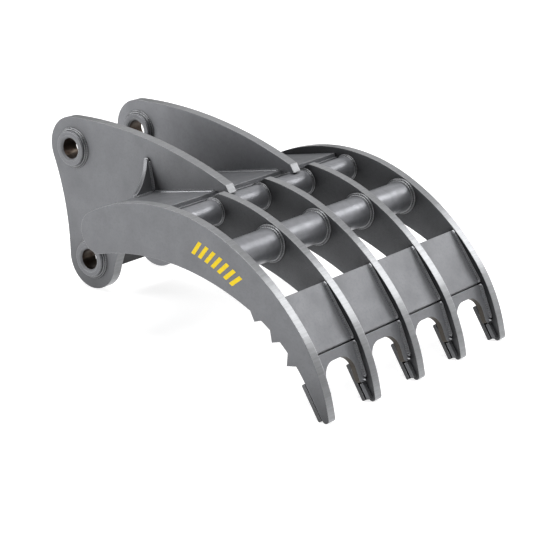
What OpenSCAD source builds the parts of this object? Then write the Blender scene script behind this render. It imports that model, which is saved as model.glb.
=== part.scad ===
// Welded rake attachment for an excavator arm of the 12 to 15 tonne class.
// Frame: +X from the pins to the tine tips, +Y along the pin axes, +Z up as it rests.
// Origin: on the axis of the upper pin, half way between the two ears.

/* [Tines] */
// Distance between the centres of neighbouring tines
tine_pitch = 204; // [190:2:230]
// Thickness of a tine plate
tine_t = 28; // [22:1:34]
// Depth of a tine under its highest point
tine_depth = 156; // [146:2:166]
// Distance of the highest point of the tines in front of the upper pin
crown_x = 640; // [620:2:660]
// Height of the highest point of the tines above the upper pin
crown_z = 20; // [10:1:30]
// Radius of the back edge over its highest point
crown_r = 590; // [570:5:610]
// Turn of the back edge in front of its highest point
crown_turn = 22; // [20:0.5:24]
// Radius of the back edge half way down
back_r = 720; // [680:10:760]
// Turn of the back edge half way down
back_turn = 26; // [24:0.5:28]
// Radius of the back edge above the tip
front_r = 490; // [470:5:510]
// Turn of the back edge above the tip
front_turn = 28.8; // [27:0.2:30]
// Radius of the hollow edge under the tines
belly_r = 820; // [780:10:860]
// Distance of the middle of the rounded rear end in front of the upper pin
rear_x = 365.5; // [358:0.5:373]
// Radius of the rounded tip
tip_r = 12; // [10:1:14]
// Slope of the straight seat under the tip, below level
seat_slope = 54; // [51:0.5:57]

/* [Teeth] */
// Number of saw teeth on the hollow edge
tooth_count = 3; // [1:1:3]
// Distance between saw teeth along the edge
tooth_pitch = 80; // [72:1:84]
// Height of the first saw tooth
tooth_h = 19; // [14:1:24]
// Height that each tooth has over the one before
tooth_gain = 5; // [0:1:6]
// Distance of a tooth's point from its steep side, along the edge
tooth_peak = 26; // [20:1:30]
// Length of a tooth along the edge
tooth_len = 43; // [36:1:50]
// Distance of the last saw tooth from the straight seat, along the edge
tooth_start = 62; // [54:1:70]
// Radius of the edge that carries the teeth
tooth_edge_r = 470; // [440:10:500]

/* [Ears and pins] */
// Distance between the middle planes of the two ears
ear_spacing = 290; // [270:2:310]
// Thickness of an ear plate
ear_t = 32; // [25:1:36]
// Distance of the lower pin in front of the upper pin
link_x = 84; // [74:1:94]
// Distance of the lower pin under the upper pin
link_drop = 340; // [325:5:355]
// Radius of the ear around each pin
ear_r = 97; // [92:1:102]
// Diameter of the pins' bores
pin_bore_d = 65; // [50:1:70]
// Wall of a bush
bush_wall = 8; // [6:0.5:10]
// Set-back of a bush from the face of its boss
bush_inset = 0.5; // [0:0.5:3]
// Lead-in chamfer at both ends of a bush's bore
bush_lead = 5; // [1:0.5:5.5]
// Diameter of a boss
boss_d = 112; // [104:1:118]
// Height of a boss over the face of the ear
boss_proud = 17; // [12:1:20]
// Chamfer on the rim of a boss
boss_chamfer = 3; // [1:0.5:4]
// Radius of the ear's long upper edge
ear_top_r = 1500; // [1400:20:1600]
// Distance of the nose's upper corner in front of the upper pin
nose_x = 624; // [610:2:634]
// Height of the nose's upper corner over the upper pin
nose_z = 26; // [20:1:32]
// Radius of the hollow rear edge between the pins
ear_back_r = 800; // [700:20:900]
// Radius of the hollow front edge over the lower pin
ear_front_r = 600; // [540:20:660]

/* [Deck] */
// Distance of the deck's front edge in front of the upper pin
deck_front_x = 585; // [575:1:590]
// Height of the deck's upper face at its front edge
deck_front_z = -1; // [-5:0.5:1]
// Distance of the deck's rear edge in front of the upper pin
deck_rear_x = 325; // [315:1:335]
// Slope of the deck, down to the rear
deck_slope = 14.2; // [13:0.1:15]
// Thickness of the deck plate
deck_t = 12; // [10:1:14]
// Width of the bar under the deck's front edge
bar_w = 50; // [40:1:60]
// Thickness of that bar
bar_t = 10; // [8:0.5:14]
// Step of that bar in front of the deck's edge
bar_step = 6; // [4:0.5:8]
// Thickness of the plate between the ears
cross_t = 16; // [12:1:20]
// Height of the lower edge of that plate over the lower pin
cross_low = -2; // [-20:2:20]

/* [Gussets] */
// Distance of a gusset's front face from the deck's rear edge
gusset_back = 21; // [19:1:30]
// Thickness of a gusset
gusset_t = 14; // [10:1:16]
// Height of a gusset over the deck
gusset_h = 100; // [90:1:110]
// Width of a gusset on the deck
gusset_w = 74; // [64:1:84]
// Blunt width left at each end of a gusset's free edge
gusset_nose = 8; // [5:1:12]
// Radius of a gusset's free edge
gusset_edge_r = 170; // [150:5:200]

/* [Tubes] */
// Diameter of the tubes in front of the deck
rear_tube_d = 72; // [66:1:76]
// Room between the bar under the deck and the welds of those tubes
rear_tube_room = 0.5; // [0.4:0.1:3]
// Direction from the bar's lower edge to the middle of those tubes, below level
rear_tube_fall = 24; // [20:1:28]
// Diameter of the tubes half way down the tines
front_tube_d = 92; // [84:1:98]
// Distance of those tubes in front of the upper pin
front_tube_x = 845; // [835:1:855]
// Depth of those tubes under the upper pin
front_tube_drop = 79; // [74:1:84]
// Wall of the tubes
tube_wall = 10; // [6:1:12]

/* [Plates between the tines] */
// Thickness of these plates
plate_t = 16; // [12:1:18]
// Depth of the upper plate's top edge under the tines' back edge
plate_top_dip = 9; // [6:1:14]
// Depth of the joint between the plates under the back edge
plate_joint_dip = 21; // [18:1:24]
// Depth of the lower plate's ends under the back edge
plate_end_dip = 22; // [19:1:24]
// Direction of the upper plate's top edge from the centre of the back edge
plate_top_angle = 50.8; // [49:0.2:53]
// Direction of the joint from the centre of the edge above the tip
plate_joint_angle = 33.6; // [32:0.2:35]
// Direction of the lower plate's ends from the same centre
plate_end_angle = 19; // [18:0.2:21]
// Width of the open joint between the plates
plate_gap = 5; // [4:0.5:6]
// Width of the arch in the lower plate
arch_w = 124; // [110:2:130]
// Radius of the two upper corners of the arch
arch_r = 46; // [36:1:52]
// Distance from the joint to the top of the arch
arch_top = 28; // [22:1:36]
// Radius on the ends of the legs
leg_r = 10; // [6:1:14]

/* [Tip wear parts] */
// Length of the wear strip under a tip
strip_len = 110; // [98:1:116]
// Thickness of the wear strip
strip_t = 15; // [12:0.5:18]
// Chamfer on the wear strip
strip_chamfer = 3; // [2:0.5:5]
// Thickness of the step that keeps the strip's rim off the tine
strip_step = 3; // [2:0.5:4]
// Set-back of that step from the rim
strip_rim = 5; // [3:0.5:7]
// Length of the cheek beside a tip
cheek_len = 48; // [40:1:52]
// Width of the cheek beside a tip
cheek_w = 11; // [9:0.5:13]
// Thickness of the cheek
cheek_t = 12; // [8:1:14]

/* [Welds] */
// Leg of the weld around a boss
boss_weld = 8; // [5:1:10]
// Leg of the weld around a rear tube
rear_tube_weld = 4; // [3:0.5:5]
// Leg of the weld around a front tube
front_tube_weld = 8; // [5:0.5:10]
// Leg of the welds along the ears
ear_weld = 6; // [4:0.5:9]
// Leg of the welds along the gussets
gusset_weld = 6; // [4:0.5:8]
// Leg of the welds along the plates between the tines
plate_weld = 8; // [5:0.5:10]

/* [Hidden] */
$fn = 96;

// Clearance between pieces that are welded together
fit = 0.2;
// Extra length that lets a cut run past a face
past = 5;
tine_count = 5;
paint = [0.47, 0.48, 0.50];
dark_paint = [0.36, 0.37, 0.39];
bare_steel = [0.33, 0.30, 0.27];
weld_paint = [0.55, 0.56, 0.58];

// Directions and arcs

function dir(a) = [cos(a), sin(a)];
function heading(v) = atan2(v[1], v[0]);
// Point where two circles cross, on the left (side 1) or right (side -1) of the way from c0 to c1
function crossing(c0, r0, c1, r1, side) =
    let (
        d = norm(c1 - c0),
        u = (c1 - c0) / d,
        a = (r0 * r0 - r1 * r1 + d * d) / (2 * d),
        h = sqrt(r0 * r0 - a * a)
    )
    c0 + a * u + side * h * [-u[1], u[0]];
// Points of an arc, about one for each step of the angle
arc_step = 2;
function arc(c, r, from, to, step = arc_step) =
    let (n = max(2, ceil(abs(to - from) / step)))
    [for (i = [0:n]) c + r * dir(from + (to - from) * i / n)];
// The same angle, brought to at most one turn above the limit
function above(a, limit) = a < limit ? a + 360 : a;
// Step of the angle on small rounds
small_step = 6;

// Side view of a tine: the back edge is three arcs that run into each other

crown_centre = [crown_x, crown_z - crown_r];
back_from = 90 - crown_turn;
back_centre = crown_centre + (crown_r - back_r) * dir(back_from);
front_from = back_from - back_turn;
front_centre = back_centre + (back_r - front_r) * dir(front_from);
tip_at = front_from - front_turn;
tip_corner = front_centre + front_r * dir(tip_at);
tip_centre = tip_corner - tip_r * dir(tip_at);

// The hollow edge: one long arc, an arc with the teeth, and the straight seat under the tip
seat_way = 180 - seat_slope;
seat_out = seat_way + 90;
tip_seat = tip_centre + tip_r * dir(seat_out);
// The seat ends this far short of the wear strip's upper end
seat_short = 11;
seat_len = strip_len - seat_short;
tooth_centre = tip_seat + tooth_edge_r * dir(seat_out) + seat_len * dir(seat_way);
tooth_reach = belly_r - tooth_edge_r;
belly_z = crown_z - tine_depth - belly_r;
belly_back = sqrt(max(0, tooth_reach * tooth_reach - pow(tooth_centre[1] - belly_z, 2)));
belly_centre = [tooth_centre[0] - belly_back, belly_z];
tooth_from = heading(tooth_centre - belly_centre);
tooth_to = seat_out - 180;

// Point of the hollow edge at a distance up from the seat, moved into the plate by a depth
tooth_degree = 180 / (PI * tooth_edge_r);
belly_degree = 180 / (PI * belly_r);
tooth_span = (tooth_from - tooth_to) / tooth_degree;
function hollow(s, depth = 0) = s < tooth_span
    ? tooth_centre + (tooth_edge_r - depth) * dir(tooth_to + s * tooth_degree)
    : belly_centre + (belly_r - depth) * dir(tooth_from + (s - tooth_span) * belly_degree);
// Points of that edge going up from one distance to another
hollow_step = 15;
function hollow_run(from, to) =
    let (n = max(2, ceil((to - from) / hollow_step)))
    [for (i = [0:n]) hollow(from + (to - from) * i / n)];

// The rounded rear end stands at its distance and touches the back edge and the hollow edge,
// which gives its height and its radius
both_r = crown_r + belly_r;
rear_off = pow(rear_x - crown_centre[0], 2) - pow(rear_x - belly_centre[0], 2)
    + pow(crown_centre[1], 2) - pow(belly_centre[1], 2);
rear_k = (both_r * both_r - rear_off) / (2 * both_r);
rear_m = (belly_centre[1] - crown_centre[1]) / both_r;
rear_a = 1 - rear_m * rear_m;
rear_b = rear_k * rear_m - belly_centre[1];
rear_c = pow(rear_x - belly_centre[0], 2) + pow(belly_centre[1], 2) - rear_k * rear_k;
rear_centre = [rear_x, (sqrt(rear_b * rear_b - rear_a * rear_c) - rear_b) / rear_a];
rear_r = crown_r - norm(rear_centre - crown_centre);
rear_top_at = heading(rear_centre - crown_centre);
belly_rear_at = heading(rear_centre - belly_centre);

// Saw teeth, counted up from the seat; each is a little lower than the one before
function tooth_low(i) = tooth_start + i * tooth_pitch;
function tooth_high(i) = tooth_low(i) + tooth_len;
function tooth_point(i) =
    hollow(tooth_high(i) - tooth_peak, tooth_h + (tooth_count - 1 - i) * tooth_gain);
belly_end = tooth_span + (belly_rear_at - tooth_from) / belly_degree;
tooth_edge = [for (i = [0:tooth_count - 1]) each concat(
    hollow_run(i > 0 ? tooth_high(i - 1) : 0, tooth_low(i)),
    [tooth_point(i)]
)];

tine_outline = concat(
    arc(crown_centre, crown_r, rear_top_at, back_from),
    arc(back_centre, back_r, back_from, front_from),
    arc(front_centre, front_r, front_from, tip_at),
    arc(tip_centre, tip_r, tip_at, seat_out - 360, 2 * small_step),
    tooth_edge,
    hollow_run(tooth_high(tooth_count - 1), belly_end),
    arc(rear_centre, rear_r, belly_rear_at + 180, rear_top_at, small_step)
);

// Deck: a flat plate that slopes down to the rear, and the bar under its front edge

deck_front = [deck_front_x, deck_front_z];
deck_len = (deck_front_x - deck_rear_x) / cos(deck_slope);
tine_y = [for (i = [0:tine_count - 1]) (i - (tine_count - 1) / 2) * tine_pitch];
tine_gap = tine_pitch - tine_t;
inner_w = tine_y[tine_count - 1] - tine_y[0] - tine_t;

// Moves a side view that is drawn along the deck, with its zero at the deck's front edge
module on_deck() translate(deck_front) rotate(deck_slope) children();

// Gives a side view its thickness, centred on y
module plate(y, t) translate([0, y + t / 2, 0]) rotate([90, 0, 0]) linear_extrude(t) children();

// Depth of the deck and its bar under the deck's upper face
under_bar = deck_t + bar_t + 2 * fit;

// Tines

// Slope of an inner tine's top in front of the deck's bar
ramp_rise = 36;
// The space over an inner tine that the deck and its bar take
module deck_space() on_deck()
    polygon([
        [-deck_len - tine_depth, -deck_t - fit],
        [bar_step - bar_w - fit, -deck_t - fit],
        [bar_step - bar_w - fit, -under_bar],
        [bar_step + fit, -under_bar],
        [bar_step + fit, -under_bar + past],
        [bar_step + fit + tine_depth, -under_bar + past + tine_depth * tan(ramp_rise - deck_slope)],
        [-deck_len - tine_depth, tine_depth]
    ]);
// Set-back of the inner tines from the deck's rear edge, which leaves room for the cross plate
inner_back = 8;

module tine_side(inner) difference() {
    polygon(tine_outline);
    if (inner) deck_space();
    if (inner) translate([deck_rear_x + inner_back - 2 * tine_depth, -2 * tine_depth])
        square([2 * tine_depth, 3 * tine_depth]);
}
module tine(i) color(paint)
    plate(tine_y[i], tine_t) tine_side(i > 0 && i < tine_count - 1);

// Ears

upper_pin = [0, 0];
lower_pin = [link_x, -link_drop];
boss_r = boss_d / 2;
bar_edge = deck_front + bar_step * dir(deck_slope) + (under_bar - fit) * dir(deck_slope - 90);
rear_tube = bar_edge + (rear_tube_d / 2 + rear_tube_weld + rear_tube_room) * dir(-rear_tube_fall);
front_tube = [front_tube_x, -front_tube_drop];
nose_top = [nose_x, nose_z];
// The nose ends in a sloping cut, and its lower edge rises a little over the rear tubes
nose_cut = 16;
nose_room = 2;
nose_rise = 3;
nose_low_z = rear_tube[1] + rear_tube_d / 2 + nose_room;
nose_low = [nose_x + nose_cut, nose_low_z + nose_rise];
top_centre = crossing(upper_pin, ear_top_r - ear_r, nose_top, ear_top_r, -1);
ear_back_centre = crossing(upper_pin, ear_back_r + ear_r, lower_pin, ear_back_r + ear_r, -1);
deck_heel = deck_front - deck_len * dir(deck_slope) + (deck_t + fit) * dir(deck_slope - 90);
ear_front_centre = crossing(deck_heel, ear_front_r, lower_pin, ear_front_r + ear_r, 1);

ear_outline = concat(
    arc(top_centre, ear_top_r, heading(nose_top - top_centre), heading(upper_pin - top_centre)),
    arc(upper_pin, ear_r, heading(upper_pin - top_centre), above(heading(ear_back_centre), 90), small_step),
    arc(ear_back_centre, ear_back_r, heading(upper_pin - ear_back_centre), heading(lower_pin - ear_back_centre)),
    arc(lower_pin, ear_r, above(heading(ear_back_centre - lower_pin), 90), heading(ear_front_centre - lower_pin) + 360, small_step),
    arc(ear_front_centre, ear_front_r, above(heading(lower_pin - ear_front_centre), 90), above(heading(deck_heel - ear_front_centre), 90)),
    [
        deck_heel + (deck_t + 2 * fit) * dir(deck_slope + 90),
        deck_front + fit * dir(deck_slope + 90),
        [deck_front_x + bar_step, nose_low_z],
        nose_low
    ]
);

module ear(y) color(paint) difference() {
    plate(y, ear_t) polygon(ear_outline);
    for (pin = [upper_pin, lower_pin])
        translate([pin[0], y, pin[1]]) rotate([90, 0, 0])
            cylinder(h = ear_t + 2 * past, r = boss_r + fit, center = true);
}

// Bosses and bushes

boss_len = ear_t + 2 * boss_proud;
bush_r = pin_bore_d / 2 + bush_wall;
module boss(pin, y) color(paint)
    translate([pin[0], y, pin[1]]) rotate([90, 0, 0]) rotate_extrude()
        polygon([
            [bush_r + fit / 2, -boss_len / 2],
            [boss_r - boss_chamfer, -boss_len / 2],
            [boss_r, boss_chamfer - boss_len / 2],
            [boss_r, boss_len / 2 - boss_chamfer],
            [boss_r - boss_chamfer, boss_len / 2],
            [bush_r + fit / 2, boss_len / 2]
        ]);
bush_len = boss_len - 2 * bush_inset;
module bush(pin, y) color(bare_steel)
    translate([pin[0], y, pin[1]]) rotate([90, 0, 0]) rotate_extrude()
        polygon([
            [pin_bore_d / 2 + bush_lead, -bush_len / 2],
            [bush_r, -bush_len / 2],
            [bush_r, bush_len / 2],
            [pin_bore_d / 2 + bush_lead, bush_len / 2],
            [pin_bore_d / 2, bush_len / 2 - bush_lead],
            [pin_bore_d / 2, bush_lead - bush_len / 2]
        ]);

// Deck, bar and cross plate

module deck_plate() color(paint)
    plate(0, inner_w - 2 * fit) on_deck() translate([-deck_len, -deck_t]) square([deck_len, deck_t]);
module deck_bar() color(paint)
    plate(0, inner_w - 2 * fit) on_deck()
        translate([bar_step - bar_w, fit - under_bar]) square([bar_w, bar_t]);

// The plate between the ears follows their front edge from the deck down to the lower pin
cross_w = ear_spacing - ear_t - 2 * fit;
cross_rear = deck_heel + [0, -fit];
cross_top_at = above(heading(deck_heel - ear_front_centre), 90);
cross_lead = 2;
cross_low_z = lower_pin[1] + cross_low;
cross_low_at = 180 - asin((cross_low_z - ear_front_centre[1]) / ear_front_r);
module cross_plate() color(dark_paint)
    plate(0, cross_w) difference() {
        polygon(concat(
            arc(ear_front_centre, ear_front_r, cross_low_at, cross_top_at),
            arc(ear_front_centre, ear_front_r + cross_t, cross_top_at - cross_lead, cross_low_at)
        ));
        on_deck() translate([-deck_len - 2 * past, -deck_t - fit]) square([deck_len, deck_t + tine_depth]);
    }

// Gussets: each stands square on the deck against the outer side of an ear

ear_out = (ear_spacing + ear_t) / 2;
module gusset(side) color(paint)
    translate([deck_front[0], side * (ear_out + fit), deck_front[1]]) rotate([0, -deck_slope, 0])
        translate([gusset_back - deck_len, 0, fit]) rotate([90, 0, -90]) mirror([side > 0 ? 1 : 0, 0, 0])
            linear_extrude(gusset_t) difference() {
                polygon([[0, 0], [gusset_w, 0], [gusset_w, gusset_nose], [gusset_nose, gusset_h], [0, gusset_h]]);
                translate(crossing([gusset_w, gusset_nose], gusset_edge_r, [gusset_nose, gusset_h], gusset_edge_r, -1))
                    circle(r = gusset_edge_r, $fn = 180);
            }

// Tubes between the tines

gap_y = [for (i = [0:tine_count - 2]) (tine_y[i] + tine_y[i + 1]) / 2];
module tube(at, d, i) color(paint)
    translate([at[0], gap_y[i], at[1]]) rotate([90, 0, 0]) difference() {
        cylinder(h = tine_gap - 2 * fit, d = d, center = true);
        cylinder(h = tine_gap + 2 * past, d = d - 2 * tube_wall, center = true);
    }
module rear_tube(i) tube(rear_tube, rear_tube_d, i);
module front_tube(i) tube(front_tube, front_tube_d, i);

// Plates between the tines: an upper plate and a lower one with an arch

plate_top = back_centre + (back_r - plate_top_dip) * dir(plate_top_angle);
plate_joint = front_centre + (front_r - plate_joint_dip) * dir(plate_joint_angle);
plate_end = front_centre + (front_r - plate_end_dip) * dir(plate_end_angle);
upper_len = norm(plate_joint - plate_top) - plate_gap / 2;
upper_way = heading(plate_joint - plate_top);
arch_len = norm(plate_end - plate_joint) - plate_gap / 2;
arch_way = heading(plate_end - plate_joint);

// Lays a piece on the line from a point: its length runs down the line, its width along Y
module on_line(at, way, y) translate([at[0], y, at[1]]) rotate([0, -way, 0]) children();

module upper_plate(i) color(paint)
    on_line(plate_top, upper_way, gap_y[i])
        translate([0, fit - tine_gap / 2, -plate_t]) cube([upper_len, tine_gap - 2 * fit, plate_t]);

module rounded_legs() {
    w = tine_gap - 2 * fit;
    difference() {
        translate([0, -w / 2]) square([arch_len - leg_r, w]);
        for (corner = [-1, 1])
            translate([arch_top + arch_r, corner * (arch_w / 2 - arch_r)]) circle(r = arch_r);
        translate([arch_top, arch_r - arch_w / 2]) square([arch_r, arch_w - 2 * arch_r]);
        translate([arch_top + arch_r, -arch_w / 2]) square([arch_len, arch_w]);
    }
    for (side = [-1, 1]) {
        leg_w = (w - arch_w) / 2;
        translate([arch_len - leg_r, side * (w - leg_w) / 2]) {
            translate([-past, -leg_w / 2]) square([past, leg_w]);
            translate([0, leg_r - leg_w / 2]) square([leg_r, leg_w - 2 * leg_r]);
            for (corner = [-1, 1]) translate([0, corner * (leg_w / 2 - leg_r)]) circle(r = leg_r);
        }
    }
}
module arch_plate(i) color(paint)
    on_line(plate_joint, arch_way, gap_y[i])
        translate([plate_gap / 2, 0, -plate_t]) linear_extrude(plate_t) rounded_legs();

// Wear parts at the tips

// A cheek lies on each side of a tip that faces another tine
function low_cheek(i) = i > 0 ? cheek_t + fit : 0;
function high_cheek(i) = i < tine_count - 1 ? cheek_t + fit : 0;
module on_seat() translate(tip_seat) rotate(seat_way) children();
// The strip sits on a narrower step, which leaves a dark groove round its rim
module wear_strip(i) color(dark_paint) {
    mid = tine_y[i] + (high_cheek(i) - low_cheek(i)) / 2;
    wide = tine_t + high_cheek(i) + low_cheek(i);
    plate(mid, wide) on_seat() polygon([
        [0, strip_step],
        [strip_len, strip_step],
        [strip_len, strip_t - strip_chamfer],
        [strip_len - strip_chamfer, strip_t],
        [strip_chamfer, strip_t],
        [0, strip_t - strip_chamfer]
    ]);
    plate(tine_y[i], tine_t - 2 * strip_rim) on_seat()
        translate([strip_rim, fit]) square([strip_len - 2 * strip_rim, strip_step]);
}
cheek_start = -2;
module tip_cheeks(i) color(paint)
    for (side = [i > 0 ? -1 : 1:2:i < tine_count - 1 ? 1 : -1])
        plate(tine_y[i] + side * (tine_t / 2 + fit + cheek_t / 2), cheek_t)
            on_seat() translate([cheek_start, -strip_step]) {
                translate([cheek_w / 2, -cheek_w]) square([cheek_len - cheek_w / 2, cheek_w]);
                translate([cheek_w / 2, -cheek_w / 2]) circle(d = cheek_w);
            }

// Welds

// A bead around a round piece on a flat face: side is the way that the face looks along Y
module ring_weld(at, r, y, side, leg)
    translate([at[0], y, at[1]]) rotate([side > 0 ? -90 : 90, 0, 0]) rotate_extrude()
        polygon([[r + fit / 4, fit / 4], [r + leg, fit / 4], [r + fit / 4, leg]]);

module boss_welds() color(weld_paint)
    for (pin = [upper_pin, lower_pin], ear_side = [-1, 1], face = [-1, 1])
        ring_weld(pin, boss_r, ear_side * ear_spacing / 2 + face * ear_t / 2, face, boss_weld);
module tube_welds(at, r, leg) color(weld_paint)
    for (i = [0:tine_count - 2], side = [-1, 1])
        ring_weld(at, r, gap_y[i] - side * tine_gap / 2, side, leg);
module rear_tube_welds() tube_welds(rear_tube, rear_tube_d / 2, rear_tube_weld);
module front_tube_welds() tube_welds(front_tube, front_tube_d / 2, front_tube_weld);

// A straight bead of length len along X in the corner over a floor and beside a wall on side
module seam(len, leg, side)
    rotate([90, 0, 90]) linear_extrude(len) polygon([[0, 0], [side * leg, 0], [0, leg]]);

// Beads along both sides of the ears on the deck, with a gap for the gussets
module ear_welds() color(weld_paint)
    translate([deck_front[0], 0, deck_front[1]]) rotate([0, -deck_slope, 0])
        for (ear_side = [-1, 1], face = [-1, 1]) {
            start = ear_side == face ? gusset_back + fit : past;
            translate([start - deck_len, ear_side * ear_spacing / 2 + face * (ear_t / 2 + fit / 4), fit / 4])
                seam(deck_len - start - past, ear_weld, face);
        }
module gusset_welds() color(weld_paint)
    translate([deck_front[0], 0, deck_front[1]]) rotate([0, -deck_slope, 0])
        for (side = [-1, 1], face = [0, 1])
            translate([gusset_back - deck_len - face * gusset_t, side * (ear_out + fit), fit / 4]) {
                foot = face == 0 ? side * (ear_weld + fit) : 0;
                translate([0, foot, 0]) rotate([0, 0, side * 90])
                    seam(gusset_w - abs(foot), gusset_weld, side * (face == 0 ? -1 : 1));
                translate([0, 0, face == 0 ? ear_weld + fit : gusset_weld + fit])
                    linear_extrude(gusset_h - 2 * gusset_weld)
                        polygon([[0, 0], [(face == 0 ? 1 : -1) * gusset_weld, 0], [0, side * gusset_weld]]);
            }

module side_seams(at, way, from, len) color(weld_paint)
    for (i = [0:tine_count - 2], side = [-1, 1])
        on_line(at, way, gap_y[i] - side * (tine_gap / 2 - fit / 4))
            translate([from, 0, fit / 4]) seam(len, plate_weld, side);
module upper_plate_welds() side_seams(plate_top, upper_way, 0, upper_len);
module arch_plate_welds() side_seams(plate_joint, arch_way, plate_gap / 2, arch_len - leg_r);

ear(-ear_spacing / 2);  // right_ear
ear(ear_spacing / 2);  // left_ear
boss(upper_pin, -ear_spacing / 2);  // right_upper_boss
boss(upper_pin, ear_spacing / 2);  // left_upper_boss
boss(lower_pin, -ear_spacing / 2);  // right_lower_boss
boss(lower_pin, ear_spacing / 2);  // left_lower_boss
bush(upper_pin, -ear_spacing / 2);  // right_upper_bush
bush(upper_pin, ear_spacing / 2);  // left_upper_bush
bush(lower_pin, -ear_spacing / 2);  // right_lower_bush
bush(lower_pin, ear_spacing / 2);  // left_lower_bush
deck_plate();
deck_bar();
cross_plate();
gusset(-1);  // right_gusset
gusset(1);  // left_gusset
for (i = [0:tine_count - 1]) {
    tine(i);
    wear_strip(i);
    tip_cheeks(i);
}
for (i = [0:tine_count - 2]) {
    rear_tube(i);
    front_tube(i);
    upper_plate(i);
    arch_plate(i);
}
boss_welds();
rear_tube_welds();
front_tube_welds();
ear_welds();
gusset_welds();
upper_plate_welds();
arch_plate_welds();
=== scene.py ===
import math
import random

import bmesh
import bpy
from mathutils import Matrix, Vector


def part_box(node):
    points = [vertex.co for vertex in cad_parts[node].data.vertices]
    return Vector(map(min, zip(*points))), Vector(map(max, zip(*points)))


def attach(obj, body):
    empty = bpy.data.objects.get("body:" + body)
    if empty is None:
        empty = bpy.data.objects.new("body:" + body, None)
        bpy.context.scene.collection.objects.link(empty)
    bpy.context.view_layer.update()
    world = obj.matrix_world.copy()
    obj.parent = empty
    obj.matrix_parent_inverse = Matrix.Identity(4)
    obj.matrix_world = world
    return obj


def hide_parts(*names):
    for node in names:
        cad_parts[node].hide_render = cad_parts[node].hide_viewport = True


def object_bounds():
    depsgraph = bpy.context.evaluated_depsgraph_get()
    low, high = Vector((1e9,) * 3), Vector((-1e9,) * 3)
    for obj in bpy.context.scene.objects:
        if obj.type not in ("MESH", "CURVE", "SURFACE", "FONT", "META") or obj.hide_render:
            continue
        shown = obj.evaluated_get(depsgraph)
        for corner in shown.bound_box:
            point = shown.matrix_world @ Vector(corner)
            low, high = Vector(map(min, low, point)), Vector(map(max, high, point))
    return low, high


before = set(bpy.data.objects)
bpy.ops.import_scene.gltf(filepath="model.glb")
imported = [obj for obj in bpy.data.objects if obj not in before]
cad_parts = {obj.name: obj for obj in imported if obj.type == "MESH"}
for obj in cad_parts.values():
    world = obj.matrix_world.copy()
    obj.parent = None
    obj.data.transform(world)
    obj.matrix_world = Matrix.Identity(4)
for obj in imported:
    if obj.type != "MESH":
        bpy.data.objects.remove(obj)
cad_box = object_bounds()

bl_info = {
    "name": "Excavator rake",
    "version": (1, 0, 0),
    "blender": (4, 5, 0),
    "location": "3D View > Sidebar > Rake",
    "description": "Dresses a welded excavator rake: paint, beads, bare bores and a pale studio",
    "category": "Object",
}


# Colours and directions

def linear(hex_colour):
    """Turns an sRGB hex colour into the linear values that Blender works in."""
    parts = [int(hex_colour[i:i + 2], 16) / 255 for i in (1, 3, 5)]
    return tuple(c / 12.92 if c <= 0.04045 else ((c + 0.055) / 1.055) ** 2.4 for c in parts)


def rgba(colour):
    """Adds the alpha that a colour socket takes."""
    return (*colour, 1.0)


def shade(colour, share):
    """The same colour, darker or lighter by this share."""
    return [c * share for c in colour]


def slope(degrees):
    """Unit vector in the XZ plane, at this angle over +X."""
    a = math.radians(degrees)
    return Vector((math.cos(a), 0.0, math.sin(a)))


# Sizes that come from the solids, in metres and degrees

# The directions in which the deck and the two rows of plates lie
DECK_WAY = 14.2
UPPER_WAY = -50.8
ARCH_WAY = -64.1
# The wear strips lie along the tips
TIP_WAY = -54
# The tines stand side by side along Y
ACROSS = Vector((0, 1, 0))

# Joint gap between welded pieces, and how far a bead stands off what it is welded to
FIT = 0.0002
CLEAR = FIT / 4

TINE_COUNT = 5
TINES = [f"tine_{i}" for i in range(1, TINE_COUNT + 1)]
STRIPS = [f"wear_strip_{i}" for i in range(1, TINE_COUNT + 1)]
CHEEKS = [f"tip_cheeks_{i}" for i in range(1, TINE_COUNT + 1)]
REAR_TUBES = [f"rear_tube_{i}" for i in range(1, TINE_COUNT)]
FRONT_TUBES = [f"front_tube_{i}" for i in range(1, TINE_COUNT)]
UPPER_PLATES = [f"upper_plate_{i}" for i in range(1, TINE_COUNT)]
ARCH_PLATES = [f"arch_plate_{i}" for i in range(1, TINE_COUNT)]
PLACES = [f"{side}_{level}" for side in ("right", "left") for level in ("upper", "lower")]
BOSSES = [place + "_boss" for place in PLACES]
BUSHES = [place + "_bush" for place in PLACES]
GUSSETS = ["right_gusset", "left_gusset"]


# Ends of the beads, in metres

# The beads along the ears stop this far from the ends of the deck, and those on the gussets'
# edges this far from the outer face
DECK_MARGIN = 0.005
EDGE_MARGIN = 0.001
# The dab on a gusset's peak, as half widths along X, Y and Z, and how far it stands off the ear
# and above the gusset
PEAK_DAB = (0.008, 0.005, 0.006)
PEAK_OFF_EAR = 0.004
PEAK_RISE = 0.001
# The beads of an arch plate stop this far short of its feet, and end in a dab. Then how far the
# dab lies from the foot, above the plate and off the bead's root
FOOT_DAB = (0.007, 0.005, 0.0025)
ARCH_SHORT = 0.010
DAB_FROM_FOOT = 0.006
DAB_RISE = 0.001
DAB_OFF_ROOT = 0.008


# Marking bars, which follow the back of the first tine at half its depth

BAR_COUNT = 7
BAR_CENTRE = Vector((0.640, 0.0, -0.570))
BAR_RADIUS = 0.516
FIRST_BAR_WAY = 77.4
BAR_STEP = 2.9
BAR_HALF_WIDTH = 0.0065
BAR_HALF_HEIGHT = 0.022
# How far the ends of a bar lean forward and back, like a hatch
BAR_LEAN = 0.008
# The coat starts just off the paint below it, and is as thick as brushed enamel
BAR_LOW, BAR_HIGH = 0.00005, 0.00025


# Studio

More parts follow.
